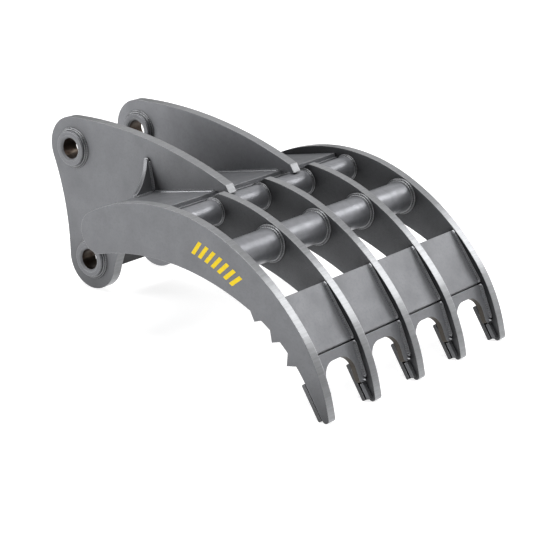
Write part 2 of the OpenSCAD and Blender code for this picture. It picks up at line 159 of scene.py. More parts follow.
# Each light is broad and far off: the way it comes from and its width in degrees. Its strength is
# the setting of the same name
LIGHTS = {
    "side_light": ((-0.70, -0.70, 0.14), 40),
    "far_light": ((0.25, 0.96, 0.14), 40),
    "front_light": ((0.99, 0.0, 0.14), 40),
    "top_light": ((0.05, -0.05, 1.0), 50),
    "back_light": ((-0.41, 0.70, 0.59), 50),
    "edge_light": ((0.32, 0.74, 0.59), 26),
}
FLOOR_CENTRE = (0.6, 0.0)
FLOOR_HALF = 30
# The floor lies this far below the tips
FLOOR_DROP = 0.0005

# The camera as fitted to the photograph: its focal length in pixels, and the picture's width
FOCAL_PIXELS = 1856.655
PICTURE_PIXELS = 533
SENSOR_MM = 36
CAMERA_AT = (3.95495, -3.98443, 1.66787)
# The columns are the camera's right, up and backward directions in the part's frame
CAMERA_TURN = Matrix(((0.7610487, -0.2517151, 0.5978665),
                      (0.6476966, 0.2437495, -0.7218555),
                      (0.0359723, 0.9366033, 0.3485402)))


# Settings

class RakePaint(bpy.types.PropertyGroup):
    side: bpy.props.FloatVectorProperty(
        name="Ears and tines", description="Paint on the rolled faces of the ears and tines",
        subtype="COLOR", size=3, min=0, max=1, default=linear("#616265"))
    # Painted light: a lighter copy of the ears' and tines' paint, for light that the lamps don't
    # give the flat plates
    flat: bpy.props.FloatVectorProperty(
        name="Flat plates", description="Paint on the deck and on the plates between the tines",
        subtype="COLOR", size=3, min=0, max=1, default=linear("#707174"))
    cut: bpy.props.FloatVectorProperty(
        name="Cut edges", description="Paint on the flame-cut edges of the plates",
        subtype="COLOR", size=3, min=0, max=1, default=linear("#868789"))
    # Rubbed paint on corners and weld crests, together with painted highlight there
    rubbed_paint_and_highlight: bpy.props.FloatVectorProperty(
        name="Corners", description="Thin paint where a corner has been rubbed",
        subtype="COLOR", size=3, min=0, max=1, default=linear("#A9AAAC"))
    # Painted light: a lighter copy of the plates' paint, for the broad light on the tubes
    tube: bpy.props.FloatVectorProperty(
        name="Tubes", description="Paint on the drawn tubes",
        subtype="COLOR", size=3, min=0, max=1, default=linear("#808185"))
    bead: bpy.props.FloatVectorProperty(
        name="Weld beads", description="Paint on the weld beads",
        subtype="COLOR", size=3, min=0, max=1, default=linear("#68696C"))
    # Painted shade: a dark brown for the shade on the arch plates' faces that don't look along the
    # rolled way, not a real cutting scale
    scale: bpy.props.FloatVectorProperty(
        name="Cutting scale", description="Dark brown scale on the cut faces of the arches",
        subtype="COLOR", size=3, min=0, max=1, default=linear("#37322C"))
    strip: bpy.props.FloatVectorProperty(
        name="Wear strips", description="Hard plate under the tips",
        subtype="COLOR", size=3, min=0, max=1, default=linear("#505154"))
    bore: bpy.props.FloatVectorProperty(
        name="Bores", description="Bare turned steel in the bores",
        subtype="COLOR", size=3, min=0, max=1, default=linear("#3C342D"))
    rust: bpy.props.FloatVectorProperty(
        name="Bore rust", description="Light rust that blooms in the bores",
        subtype="COLOR", size=3, min=0, max=1, default=linear("#3A2B21"))
    mark: bpy.props.FloatVectorProperty(
        name="Marking bars", description="Yellow enamel on the marking bars",
        subtype="COLOR", size=3, min=0, max=1, default=linear("#CCB004"))


class RakeBeads(bpy.types.PropertyGroup):
    boss_leg: bpy.props.FloatProperty(
        name="Boss bead", description="Leg of the bead round a boss",
        unit="LENGTH", min=0.003, max=0.012, default=0.008)
    rear_leg: bpy.props.FloatProperty(
        name="Rear tube bead", description="Leg of the bead round a rear tube",
        unit="LENGTH", min=0.002, max=0.008, default=0.006)
    front_leg: bpy.props.FloatProperty(
        name="Front tube bead", description="Leg of the bead round a front tube",
        unit="LENGTH", min=0.003, max=0.012, default=0.0095)
    deck_leg: bpy.props.FloatProperty(
        name="Deck bead", description="Leg of the beads along the ears and gussets",
        unit="LENGTH", min=0.003, max=0.010, default=0.006)
    plate_leg: bpy.props.FloatProperty(
        name="Plate bead", description="Leg of the beads along the plates between the tines",
        unit="LENGTH", min=0.003, max=0.012, default=0.008)
    joint_leg: bpy.props.FloatProperty(
        name="Root bead", description="Leg of the bead between an upper plate and its arch plate",
        unit="LENGTH", min=0.003, max=0.008, default=0.006)
    joint_depth: bpy.props.FloatProperty(
        name="Root bead depth", description="How far the root bead lies under the plate tops",
        unit="LENGTH", min=0.008, max=0.016, default=0.014)
    ripple: bpy.props.FloatProperty(
        name="Ripple pitch", description="Distance between two ripples of a bead",
        unit="LENGTH", min=0.003, max=0.012, default=0.0065)


class RakeStudio(bpy.types.PropertyGroup):
    floor: bpy.props.FloatVectorProperty(
        name="Floor", description="Pale matt floor",
        subtype="COLOR", size=3, min=0, max=1, default=linear("#B8B8B8"))
    side_light: bpy.props.FloatProperty(
        name="Side light", description="Broad low light on the near side, toward the ears",
        min=0, max=20, default=3.2)
    far_light: bpy.props.FloatProperty(
        name="Far light", description="Broad low light on the far side",
        min=0, max=20, default=1.2)
    front_light: bpy.props.FloatProperty(
        name="Front light", description="Broad low light in front of the tips",
        min=0, max=20, default=0.3)
    top_light: bpy.props.FloatProperty(
        name="Top light", description="Broad light overhead",
        min=0, max=20, default=4.0)
    edge_light: bpy.props.FloatProperty(
        name="Edge light", description="Light above and behind, which the cut edges mirror",
        min=0, max=20, default=0.9)
    back_light: bpy.props.FloatProperty(
        name="Back light", description="Broad light above and behind, which the top edges mirror",
        min=0, max=20, default=0.4)
    sky: bpy.props.FloatProperty(
        name="Surround", description="Strength of the white surround",
        min=0, max=3, default=0.04)


# Materials

# Sockets of the Map Range node: the value, the range that comes in and the range that goes out
VALUE, IN_LOW, IN_HIGH, OUT_LOW, OUT_HIGH = range(5)
# Sockets of the Mix node: the share of B, then A and B as numbers and as colours
SHARE, NUMBER_A, NUMBER_B, COLOUR_A, COLOUR_B = 0, 2, 3, 6, 7
MIXED_COLOUR = 2

# Painted shade, with a thinner coat, darkens a surface where a neighbour stands nearer than this
RECESS_REACH = 0.22


def add(tree, kind, inputs=None, out=0, **settings):
    """Adds a node with its settings, links or sets its inputs, and returns the output asked for."""
    n = tree.nodes.new("ShaderNode" + kind)
    for key, value in settings.items():
        setattr(n, key, value)
    for key, value in (inputs or {}).items():
        if isinstance(value, bpy.types.NodeSocket):
            tree.links.new(value, n.inputs[key])
        else:
            n.inputs[key].default_value = value
    return n.outputs[out] if n.outputs else None


def new_material(name):
    """Returns an empty material and its tree."""
    m = bpy.data.materials.new(name)
    m.use_nodes = True
    m.node_tree.nodes.clear()
    return m, m.node_tree


def per_metre(mm):
    """Noise scale whose features are about this many millimetres across."""
    return 1000.0 / mm


def thinned_and_shaded_in_recess(tree, colour, left):
    """Darkens a coat deep between neighbours, to what is left of its lightness.

    The spray gun covers thinly there, and the rest of the darkening is painted shade: it is made
    stronger than thin paint alone would be, because the studio lights leave these faces too light.
    """
    # Painted shade: an occlusion mask darkens the colour where neighbours close in
    open_to = add(tree, "AmbientOcclusion", {"Distance": RECESS_REACH}, "AO", samples=8)
    cover = add(tree, "MapRange", {VALUE: open_to, IN_LOW: 0.5, IN_HIGH: 0.95, OUT_LOW: left})
    return add(tree, "Mix", {SHARE: 1.0, COLOUR_A: colour, COLOUR_B: cover}, MIXED_COLOUR,
               data_type="RGBA", blend_type="MULTIPLY")


def rubbed_and_highlit_corners(tree, radius, rub_and_highlight):
    """Returns a normal that rounds the corners, and a mask of how far they are painted lighter, as
    rubbed paint and painted highlight.
    """
    soft = add(tree, "Bevel", {"Radius": radius}, samples=4)
    sharp = add(tree, "NewGeometry", out="Normal")
    turned = add(tree, "VectorMath", {0: soft, 1: sharp}, "Value", operation="DOT_PRODUCT")
    worn_and_highlit = add(tree, "MapRange", {VALUE: turned, IN_LOW: 0.90, IN_HIGH: 0.995,
                                  OUT_LOW: rub_and_highlight, OUT_HIGH: 0})
    return soft, worn_and_highlit


def squareness(tree, way):
    """Returns 1 on the faces that look along this direction or against it, and 0 across it."""
    normal = add(tree, "NewGeometry", out="True Normal")
    along = add(tree, "VectorMath", {0: normal, 1: way}, "Value", operation="DOT_PRODUCT")
    return add(tree, "Math", {0: along}, operation="ABSOLUTE")


def metallic_enamel_over_rolled_plate(colours, name, face, corner=0.003, recess=1.0, rub_and_highlight=0.6,
                                      cut_edges=False, painted_shade_off=None):
    """Satin machine enamel sprayed over hot-rolled plate.

    The rolled faces look even, with a faint mill mottle and a fine spray grain. Corners are painted
    lighter, partly as rubbed paint and partly as painted highlight: corner is how wide and rub how
    far.
    recess is what is left of the coat's lightness deep between neighbours, where a thinner coat and
    painted shade darken it. With cut_edges, the flame-cut edges are smoother, so they mirror the
    lights, and carry faint drag lines across the thickness. Where painted_shade_off gives the way
    that the rolled faces look, all other faces take a dark brown, which is painted shade.
    """
    m, tree = new_material(name)
    place = add(tree, "TexCoord", out="Object")
    # Mill mottle, 70 mm across, with 7 mm flecks in it
    mottle = add(tree, "TexNoise", {"Vector": place, "Scale": per_metre(70), "Detail": 5,
                                    "Roughness": 0.6})
    fleck = add(tree, "TexNoise", {"Vector": place, "Scale": per_metre(7), "Detail": 4})
    # Spray grain is 0.4 mm in the real paint, and is drawn at 3 mm so that it shows
    height = add(tree, "TexNoise", {"Vector": place, "Scale": per_metre(3), "Detail": 2})
    dull = add(tree, "MapRange", {VALUE: mottle, IN_LOW: 0.35, IN_HIGH: 0.7})
    colour = add(tree, "Mix", {SHARE: dull, COLOUR_A: rgba(face),
                               COLOUR_B: rgba(shade(face, 0.88))},
                 MIXED_COLOUR, data_type="RGBA")
    specks = add(tree, "MapRange", {VALUE: fleck, IN_LOW: 0.48, IN_HIGH: 0.72, OUT_HIGH: 0.6})
    colour = add(tree, "Mix", {SHARE: specks, COLOUR_A: colour,
                               COLOUR_B: rgba(shade(face, 0.8))},
                 MIXED_COLOUR, data_type="RGBA")
    rough = add(tree, "MapRange", {VALUE: mottle, IN_LOW: 0.3, IN_HIGH: 0.7,
                                   OUT_LOW: 0.44, OUT_HIGH: 0.56})
    # Painted shade, with a thinner coat, deep between neighbours
    if recess < 1:
        colour = thinned_and_shaded_in_recess(tree, colour, recess)
    if cut_edges:
        on_edge = add(tree, "MapRange", {VALUE: squareness(tree, ACROSS), IN_LOW: 0.45,
                                         IN_HIGH: 0.55, OUT_LOW: 1, OUT_HIGH: 0})
        # Drag lines of the torch are 1 mm apart, and are drawn at 5 mm so that they show
        stretched = add(tree, "Mapping", {"Vector": place, "Scale": (1, 0.04, 1)})
        drag = add(tree, "TexNoise", {"Vector": stretched, "Scale": per_metre(5), "Detail": 3})
        lined = add(tree, "MapRange", {VALUE: drag, IN_LOW: 0.35, IN_HIGH: 0.7})
        cut = add(tree, "Mix", {SHARE: lined, COLOUR_A: rgba(colours.cut),
                                COLOUR_B: rgba(shade(colours.cut, 0.82))},
                  MIXED_COLOUR, data_type="RGBA")
        colour = add(tree, "Mix", {SHARE: on_edge, COLOUR_A: colour, COLOUR_B: cut},
                     MIXED_COLOUR, data_type="RGBA")
        rough = add(tree, "Mix", {SHARE: on_edge, NUMBER_A: rough, NUMBER_B: 0.30},
                    data_type="FLOAT")
        shallow = add(tree, "MapRange", {VALUE: drag, OUT_HIGH: 0.45})
        height = add(tree, "Mix", {SHARE: on_edge, NUMBER_A: height, NUMBER_B: shallow},
                     data_type="FLOAT")
    # Painted shade: faces that don't look along the rolled way turn dark brown
    if painted_shade_off:
        painted_shade_faces = add(tree, "MapRange", {VALUE: squareness(tree, painted_shade_off), IN_LOW: 0.45,
                                       IN_HIGH: 0.55, OUT_LOW: 1, OUT_HIGH: 0})
        colour = add(tree, "Mix", {SHARE: painted_shade_faces, COLOUR_A: colour,
                                   COLOUR_B: rgba(colours.scale)},
                     MIXED_COLOUR, data_type="RGBA")
    # Corners painted lighter: partly rubbed paint, partly painted highlight
    soft, worn_and_highlit = rubbed_and_highlit_corners(tree, corner, rub_and_highlight)
    patches = add(tree, "MapRange", {VALUE: mottle, IN_LOW: 0.35, IN_HIGH: 0.6, OUT_LOW: 0.45})
    patchy = add(tree, "Math", {0: worn_and_highlit, 1: patches}, operation="MULTIPLY")
    colour = add(tree, "Mix", {SHARE: patchy, COLOUR_A: colour, COLOUR_B: rgba(colours.rubbed_paint_and_highlight)},
                 MIXED_COLOUR, data_type="RGBA")
    bump = add(tree, "Bump", {"Strength": 0.22, "Distance": 0.0006, "Height": height,
                              "Normal": soft})
    shader = add(tree, "BsdfPrincipled", {
        "Base Color": colour, "Roughness": rough, "Normal": bump, "Metallic": 0.6,
        "Coat Weight": 0.1, "Coat Roughness": 0.25})
    add(tree, "OutputMaterial", {"Surface": shader})
    return m


def metallic_enamel_over_drawn_tube(colours):
    """Satin enamel over cold-drawn tube: smoother than plate, so it takes a soft bright stripe,
    with faint lengthwise draw lines."""
    m, tree = new_material("metallic_enamel_over_drawn_tube")
    place = add(tree, "TexCoord", out="Object")
    stretched = add(tree, "Mapping", {"Vector": place, "Scale": (1, 0.08, 1)})
    # Draw lines are 0.5 mm apart in the real tube, and are drawn at 3 mm so that they show
    lines = add(tree, "TexNoise", {"Vector": stretched, "Scale": per_metre(3), "Detail": 3})
    blotch = add(tree, "TexNoise", {"Vector": place, "Scale": per_metre(28), "Detail": 4})
    dull = add(tree, "MapRange", {VALUE: blotch, IN_LOW: 0.35, IN_HIGH: 0.7})
    colour = add(tree, "Mix", {SHARE: dull, COLOUR_A: rgba(colours.tube),
                               COLOUR_B: rgba(shade(colours.tube, 0.8))},
                 MIXED_COLOUR, data_type="RGBA")
    rough = add(tree, "MapRange", {VALUE: blotch, IN_LOW: 0.3, IN_HIGH: 0.7,
                                   OUT_LOW: 0.36, OUT_HIGH: 0.48})
    bump = add(tree, "Bump", {"Strength": 0.12, "Distance": 0.0005, "Height": lines})
    shader = add(tree, "BsdfPrincipled", {
        "Base Color": colour, "Roughness": rough, "Normal": bump, "Metallic": 0.65,
        "Coat Weight": 0.1, "Coat Roughness": 0.2})
    add(tree, "OutputMaterial", {"Surface": shader})
    return m


def metallic_enamel_over_weld_bead(colours, name, face):
    """Satin enamel over a wire-fed weld bead: the crests of the ripples are painted lighter, partly
    as thinned paint and partly as painted highlight, and the valleys darker, as painted shade."""
    m, tree = new_material(name)
    place = add(tree, "TexCoord", out="Object")
    # Spatter and silica specks, 2 mm across, and patches of 16 mm
    speck = add(tree, "TexNoise", {"Vector": place, "Scale": per_metre(2), "Detail": 3})
    patch = add(tree, "TexNoise", {"Vector": place, "Scale": per_metre(16), "Detail": 3})
    crest = add(tree, "NewGeometry", out="Pointiness")
    dull = add(tree, "MapRange", {VALUE: patch, IN_LOW: 0.35, IN_HIGH: 0.7})
    colour = add(tree, "Mix", {SHARE: dull, COLOUR_A: rgba(face),
                               COLOUR_B: rgba(shade(face, 0.8))},
                 MIXED_COLOUR, data_type="RGBA")
    # Crests painted lighter: partly thinned paint, partly painted highlight
    rubbed = add(tree, "MapRange", {VALUE: crest, IN_LOW: 0.5, IN_HIGH: 0.57, OUT_HIGH: 0.6})
    colour = add(tree, "Mix", {SHARE: rubbed, COLOUR_A: colour, COLOUR_B: rgba(colours.rubbed_paint_and_highlight)},
                 MIXED_COLOUR, data_type="RGBA")
    # Valleys painted darker: painted shade
    valley_shade = add(tree, "MapRange", {VALUE: crest, IN_LOW: 0.44, IN_HIGH: 0.5,
                                    OUT_LOW: 0.7, OUT_HIGH: 0})
    colour = add(tree, "Mix", {SHARE: valley_shade, COLOUR_A: colour,
                               COLOUR_B: rgba(shade(face, 0.3))},
                 MIXED_COLOUR, data_type="RGBA")
    rough = add(tree, "MapRange", {VALUE: speck, IN_LOW: 0.3, IN_HIGH: 0.7,
                                   OUT_LOW: 0.24, OUT_HIGH: 0.40})
    bump = add(tree, "Bump", {"Strength": 0.25, "Distance": 0.0005, "Height": speck})
    shader = add(tree, "BsdfPrincipled", {
        "Base Color": colour, "Roughness": rough, "Normal": bump, "Metallic": 0.65})
    add(tree, "OutputMaterial", {"Surface": shader})
    return m


def scuffed_hard_plate(colours):
    """Quenched wear plate with thin primer: dark, pitted and scuffed along its length, with bright
    corners that are partly rubbed and partly painted highlight, and painted shade deep between
    neighbours."""
    m, tree = new_material("scuffed_hard_plate")
    place = add(tree, "TexCoord", out="Object")
    # Pits are about 3 mm across; scuffs are 1.5 mm wide and ten times as long
    pits = add(tree, "TexVoronoi", {"Vector": place, "Scale": per_metre(5)}, feature="F1")
    turned = add(tree, "Mapping", {"Vector": place, "Rotation": (0, math.radians(TIP_WAY), 0),
                                   "Scale": (0.1, 1, 1)})
    scuff = add(tree, "TexNoise", {"Vector": turned, "Scale": per_metre(1.5), "Detail": 3})
    light = add(tree, "MapRange", {VALUE: scuff, IN_LOW: 0.45, IN_HIGH: 0.75, OUT_HIGH: 0.7})
    colour = add(tree, "Mix", {SHARE: light, COLOUR_A: rgba(colours.strip),
                               COLOUR_B: rgba(shade(colours.strip, 1.7))},
                 MIXED_COLOUR, data_type="RGBA")
    deep = add(tree, "MapRange", {VALUE: pits, IN_LOW: 0.0, IN_HIGH: 0.35,
                                  OUT_LOW: 0.7, OUT_HIGH: 0})
    colour = add(tree, "Mix", {SHARE: deep, COLOUR_A: colour,
                               COLOUR_B: rgba(shade(colours.strip, 0.4))},
                 MIXED_COLOUR, data_type="RGBA")
    # Painted shade, with a thinner coat, deep between neighbours
    colour = thinned_and_shaded_in_recess(tree, colour, 0.3)
    # Corners painted lighter: partly rubbed paint, partly painted highlight
    soft, worn_and_highlit = rubbed_and_highlit_corners(tree, 0.0015, 0.7)
    colour = add(tree, "Mix", {SHARE: worn_and_highlit, COLOUR_A: colour, COLOUR_B: rgba(colours.rubbed_paint_and_highlight)},
                 MIXED_COLOUR, data_type="RGBA")
    height = add(tree, "Math", {0: pits, 1: scuff}, operation="ADD")
    bump = add(tree, "Bump", {"Strength": 0.35, "Distance": 0.0006, "Height": height,
                              "Normal": soft})
    shader = add(tree, "BsdfPrincipled", {
        "Base Color": colour, "Normal": bump, "Roughness": 0.55, "Metallic": 0.2})
    add(tree, "OutputMaterial", {"Surface": shader})
    return m


def turned_steel_with_painted_rim(colours):
    """Steel bush, turned and lightly rusted inside: fine tool rings round the bore with a brownish
    bloom, so the bores read dark and warm. Its end faces are under the boss's grey enamel."""
    m, tree = new_material("turned_steel_with_painted_rim")
    place = add(tree, "TexCoord", out="Object")
    # Tool rings are 0.3 mm apart in the real bush, and are drawn at 6 mm so that they show; the
    # Wave node draws about 3.15 bands over one unit of its scale
    rings = add(tree, "TexWave", {"Vector": place, "Scale": per_metre(6) / 3.15,
                                  "Distortion": 1.2, "Detail": 1},
                "Fac", wave_type="BANDS", bands_direction="Y")
    bloom = add(tree, "TexNoise", {"Vector": place, "Scale": per_metre(18), "Detail": 5})
    rusty = add(tree, "MapRange", {VALUE: bloom, IN_LOW: 0.42, IN_HIGH: 0.66, OUT_HIGH: 0.8})
    bare = add(tree, "Mix", {SHARE: rusty, COLOUR_A: rgba(colours.bore),
                             COLOUR_B: rgba(colours.rust)},
               MIXED_COLOUR, data_type="RGBA")
    smooth = add(tree, "MapRange", {VALUE: bloom, IN_LOW: 0.4, IN_HIGH: 0.66,
                                    OUT_LOW: 0.28, OUT_HIGH: 0.6})
    rim = add(tree, "MapRange", {VALUE: squareness(tree, ACROSS), IN_LOW: 0.4, IN_HIGH: 0.5})
    colour = add(tree, "Mix", {SHARE: rim, COLOUR_A: bare, COLOUR_B: rgba(colours.side)},
                 MIXED_COLOUR, data_type="RGBA")
    rough = add(tree, "Mix", {SHARE: rim, NUMBER_A: smooth, NUMBER_B: 0.45}, data_type="FLOAT")
    metal = add(tree, "MapRange", {VALUE: rim, OUT_LOW: 0.85, OUT_HIGH: 0})
    soft = add(tree, "Bevel", {"Radius": 0.0015}, samples=4)
    bump = add(tree, "Bump", {"Strength": 0.2, "Distance": 0.0004, "Height": rings,
                              "Normal": soft})
    shader = add(tree, "BsdfPrincipled", {
        "Base Color": colour, "Roughness": rough, "Metallic": metal, "Normal": bump})
    add(tree, "OutputMaterial", {"Surface": shader})
    return m


def brushed_yellow_enamel(colours):
    """Yellow enamel brushed on through a stencil: slightly uneven cover with a low sheen."""
    m, tree = new_material("brushed_yellow_enamel")
    place = add(tree, "TexCoord", out="Object")
    # Brush marks, 12 mm across
    cover = add(tree, "TexNoise", {"Vector": place, "Scale": per_metre(12), "Detail": 4})
    thin = add(tree, "MapRange", {VALUE: cover, IN_LOW: 0.4, IN_HIGH: 0.75, OUT_HIGH: 0.5})
    colour = add(tree, "Mix", {SHARE: thin, COLOUR_A: rgba(colours.mark),
                               COLOUR_B: rgba(shade(colours.mark, 0.8))},
                 MIXED_COLOUR, data_type="RGBA")
    bump = add(tree, "Bump", {"Strength": 0.2, "Distance": 0.0004, "Height": cover})
    shader = add(tree, "BsdfPrincipled", {
        "Base Color": colour, "Normal": bump, "Roughness": 0.6, "IOR": 1.5,
        "Specular IOR Level": 0.25})
    add(tree, "OutputMaterial", {"Surface": shader})
    return m


def opal_acrylic_sheet(colour):
    """Opal acrylic sheet, sanded matt and lit evenly from below as on a product table: pale all
    over, with hardly a shadow."""
    m, tree = new_material("opal_acrylic_sheet")
    place = add(tree, "TexCoord", out="Object")
    # Faint clouding, 1.7 m across
    cloud = add(tree, "TexNoise", {"Vector": place, "Scale": 0.6, "Detail": 2})
    tint = add(tree, "Mix", {SHARE: cloud, COLOUR_A: rgba(colour),
                             COLOUR_B: rgba(shade(colour, 0.995))},
               MIXED_COLOUR, data_type="RGBA")
    shader = add(tree, "BsdfPrincipled", {
        "Base Color": tint, "Roughness": 0.9, "Specular IOR Level": 0.1,
        "Emission Color": (1, 1, 1, 1), "Emission Strength": 0.8})
    add(tree, "OutputMaterial", {"Surface": shader})
    return m


def finish_nodes(names, material):
    """Gives carried-over solids their finish."""
    for name in names:
        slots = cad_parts[name].data.materials
        if not slots:
            raise RuntimeError(name + " has no material slot")
        for i in range(len(slots)):
            slots[i] = material


# Mesh helpers

# Points over the width of a bead, from the toe on the floor to the toe on the wall
TOES = 9
# Rings along each ripple of a bead
RINGS = 5
# How far the middle of a ripple runs ahead of its toes, as a share of the ripple's pitch
RUN_AHEAD = 0.55
# How high a ripple swells, as a share of the bead's leg
SWELL = 0.10
# How much of its crown a bead keeps, and how a rise at 45 degrees splits over floor and wall
FULLNESS = 0.72
DIAGONAL = 0.707


def reach(name, way):
    """Least and greatest distance of a solid's points along a direction."""
    values = [v.co.dot(way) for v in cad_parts[name].data.vertices]
    return min(values), max(values)


def new_piece(name, bm, material, slot, *replaced):
    """Turns a bmesh into a piece that rides with the part."""
    if not bm.faces:
        raise RuntimeError(name + " has no faces")
    bmesh.ops.recalc_face_normals(bm, faces=bm.faces)
    mesh = bpy.data.meshes.new(name)
    bm.to_mesh(mesh)
    bm.free()
    mesh.materials.append(material)
    piece = bpy.data.objects.new(name, mesh)
    bpy.context.scene.collection.objects.link(piece)
    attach(piece, "root")
    if replaced:
        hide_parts(*replaced)
    return piece


def bead(bm, path, length, leg, pitch, rng, closed=False, crown=0.2, runs=1):
    """Lays a rippled fillet weld.

    path(s) gives the inner corner and the directions of the floor and the wall at distance s. Each
    ripple is a small swell that leans forward in the middle of the bead, as a torch leaves it. The
    ends of an open bead taper. Two runs side by side leave a groove between them.
    """
    ripples = max(2, round(length / pitch))
    step = length / ripples
    swells = [rng.uniform(0.9, 1.08) for _ in range(ripples)]
    count = ripples * RINGS
    rings = []
    for k in range(count if closed else count + 1):
        s = k * length / count
        # 0 at the ends of an open bead, and 1 from one leg inward
        full = 1.0 if closed else min(1.0, min(s, length - s) / leg)
        size = leg * math.sqrt(0.25 + 0.75 * full)
        ripple, ring_in_ripple = divmod(k, RINGS)
        hump = math.sqrt(abs(math.sin(math.pi * ring_in_ripple / RINGS)))
        swell = swells[ripple % ripples] * SWELL * hump
        ring = []
        for j in range(TOES):
            t = j / (TOES - 1)
            at = s + RUN_AHEAD * step * math.sin(math.pi * t) * full
            corner, floor_way, wall_way = path(at % length if closed else min(at, length))
            round_off = abs(math.sin(runs * math.pi * t)) ** 0.7
            rise = (crown + swell) * round_off * size * FULLNESS * DIAGONAL
            ring.append(bm.verts.new(corner + floor_way * (size * (1 - t) + rise)
                                     + wall_way * (size * t + rise)))
        ring.append(bm.verts.new(path(s)[0]))
        rings.append(ring)
    sides = TOES + 1
    pairs = list(zip(rings, rings[1:])) + ([(rings[-1], rings[0])] if closed else [])
    for a, b in pairs:
        for j in range(sides):
            face = bm.faces.new((a[j], a[(j + 1) % sides], b[(j + 1) % sides], b[j]))
            face.smooth = j < TOES - 1
    if not closed:
        bm.faces.new(rings[0])
        bm.faces.new(list(reversed(rings[-1])))


def straight(start, way, floor_way, wall_way):
    """Path of a straight bead."""
    return lambda s: (start + way * s, floor_way, wall_way)


def ring_path(centre, radius, wall_way):
    """Path round a cylinder that stands on a face; the wall runs along the cylinder."""
    def at(s):
        a = s / radius
        out = Vector((math.cos(a), 0.0, math.sin(a)))
        return centre + out * radius, out, wall_way
    return at


def ring_bead(bm, name, face_y, way, leg, pitch, rng, crown):
    """Lays two runs round a boss or tube, on the face at face_y that looks this way along Y."""
    lo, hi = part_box(name)
    radius = (hi.x - lo.x) / 2 + CLEAR
    centre = Vector(((lo.x + hi.x) / 2, face_y + way * CLEAR, (lo.z + hi.z) / 2))
    bead(bm, ring_path(centre, radius, ACROSS * way), 2 * math.pi * radius, leg, pitch, rng,
         closed=True, crown=crown, runs=2)


def dab(bm, centre, size, rng):
    """A short blob of weld, a flattened and slightly uneven ball."""
    made = bmesh.ops.create_icosphere(bm, subdivisions=3, radius=1.0)["verts"]
    # Where the unevenness starts, anywhere in a full turn
    wave = rng.uniform(0, 6.28)
    for v in made:
        swell = 1 + 0.08 * math.sin(5 * v.co.x + wave) * math.cos(4 * v.co.z - wave)
        v.co = centre + Vector((v.co.x * size[0], v.co.y * size[1], v.co.z * size[2])) * swell
        for f in v.link_faces:
            f.smooth = True


# Operators

class RAKE_OT_paint_plates(bpy.types.Operator):
    """Paints the plates, tubes and bosses"""
    bl_idname = "rake.paint_plates"
    bl_label = "Paint plates and tubes"

    def execute(self, context):
        colours = context.scene.rake_paint
        side, flat = colours.side, colours.flat
        # The solids, the name of their finish, its paint, and what isn't as on a plain plate.
        # recess sets how dark a coat turns deep between neighbours, as painted shade with a thinner
        # coat
        coats = (
            (["right_ear"], "metallic_enamel_over_cut_right_ear", side,
             {"recess": 0.55, "cut_edges": True}),
            # Painted light: lighter paint than on the near ear, for the side light that the near
            # ear keeps off this ear's inner face; its painted shade between neighbours is milder
            # too
            (["left_ear"], "metallic_enamel_over_cut_left_ear", shade(side, 1.25),
             {"recess": 0.9, "cut_edges": True}),
            (TINES, "metallic_enamel_over_cut_tine", side, {"recess": 0.3, "cut_edges": True}),
            (BOSSES, "metallic_enamel_over_turned_boss", side, {"corner": 0.0035}),
            (CHEEKS, "metallic_enamel_over_tip_cheek", side, {"recess": 0.6}),
            # Painted shade: the paint is darkened to nearly black, for the deep shade that the
            # plate sits in
            (["cross_plate"], "thin_enamel_over_mill_scale", shade(side, 0.2),
             {"rub_and_highlight": 0.2, "recess": 0.3}),
            (UPPER_PLATES, "metallic_enamel_over_upper_plate", flat,
             {"corner": 0.006, "rub_and_highlight": 0.1}),
            # Painted light: a lighter copy of the flat paint, for light that the lamps don't give
            # these plates; their faces off the rolled way take painted shade
            (ARCH_PLATES, "metallic_enamel_over_arch_plate", shade(flat, 1.15),
             {"rub_and_highlight": 0.1, "painted_shade_off": slope(ARCH_WAY + 90)}),
            (["deck_plate", "deck_bar"], "metallic_enamel_over_rolled_plate", flat,
             {"corner": 0.004}),
            (GUSSETS, "metallic_enamel_over_bent_gusset", side,
             {"corner": 0.004, "recess": 0.95}),
        )
        for names, title, paint, extra in coats:
            finish_nodes(names, metallic_enamel_over_rolled_plate(colours, title, paint, **extra))
        finish_nodes(REAR_TUBES + FRONT_TUBES, metallic_enamel_over_drawn_tube(colours))
        return {"FINISHED"}


class RAKE_OT_finish_steel(bpy.types.Operator):
    """Gives the wear strips and the bushes their bare or scuffed steel"""
    bl_idname = "rake.finish_steel"
    bl_label = "Finish bare steel"

    def execute(self, context):
        colours = context.scene.rake_paint
        finish_nodes(STRIPS, scuffed_hard_plate(colours))
        finish_nodes(BUSHES, turned_steel_with_painted_rim(colours))
        return {"FINISHED"}


class RAKE_OT_round_beads(bpy.types.Operator):
    """Lays the weld beads round the bosses and the tubes"""
    bl_idname = "rake.round_beads"
    bl_label = "Lay round beads"

    def execute(self, context):
        sizes, colours = context.scene.rake_beads, context.scene.rake_paint
        # Painted shade: the rings take a darker coat than the straight beads, for the shade they
        # sit in
        material = metallic_enamel_over_weld_bead(
            colours, "thin_enamel_over_ring_bead", shade(colours.bead, 0.55))
        rng = random.Random(11)
        bm = bmesh.new()
        for name in BOSSES:
            ear_lo, ear_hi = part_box("right_ear" if name.startswith("right") else "left_ear")
            for face_y, way in ((ear_lo.y, -1), (ear_hi.y, 1)):
                ring_bead(bm, name, face_y, way, sizes.boss_leg, sizes.ripple, rng, crown=0.24)
        new_piece("boss_beads", bm, material, "weld_bead", "boss_welds")
        for names, leg, title, node in (
                (REAR_TUBES, sizes.rear_leg, "rear_tube_beads", "rear_tube_welds"),
                (FRONT_TUBES, sizes.front_leg, "front_tube_beads", "front_tube_welds")):
            bm = bmesh.new()
            for name in names:
                lo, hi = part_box(name)
                for tine_y, way in ((hi.y + FIT, -1), (lo.y - FIT, 1)):
                    ring_bead(bm, name, tine_y, way, leg, sizes.ripple, rng, crown=0.26)
            new_piece(title, bm, material, "weld_bead", node)
        return {"FINISHED"}


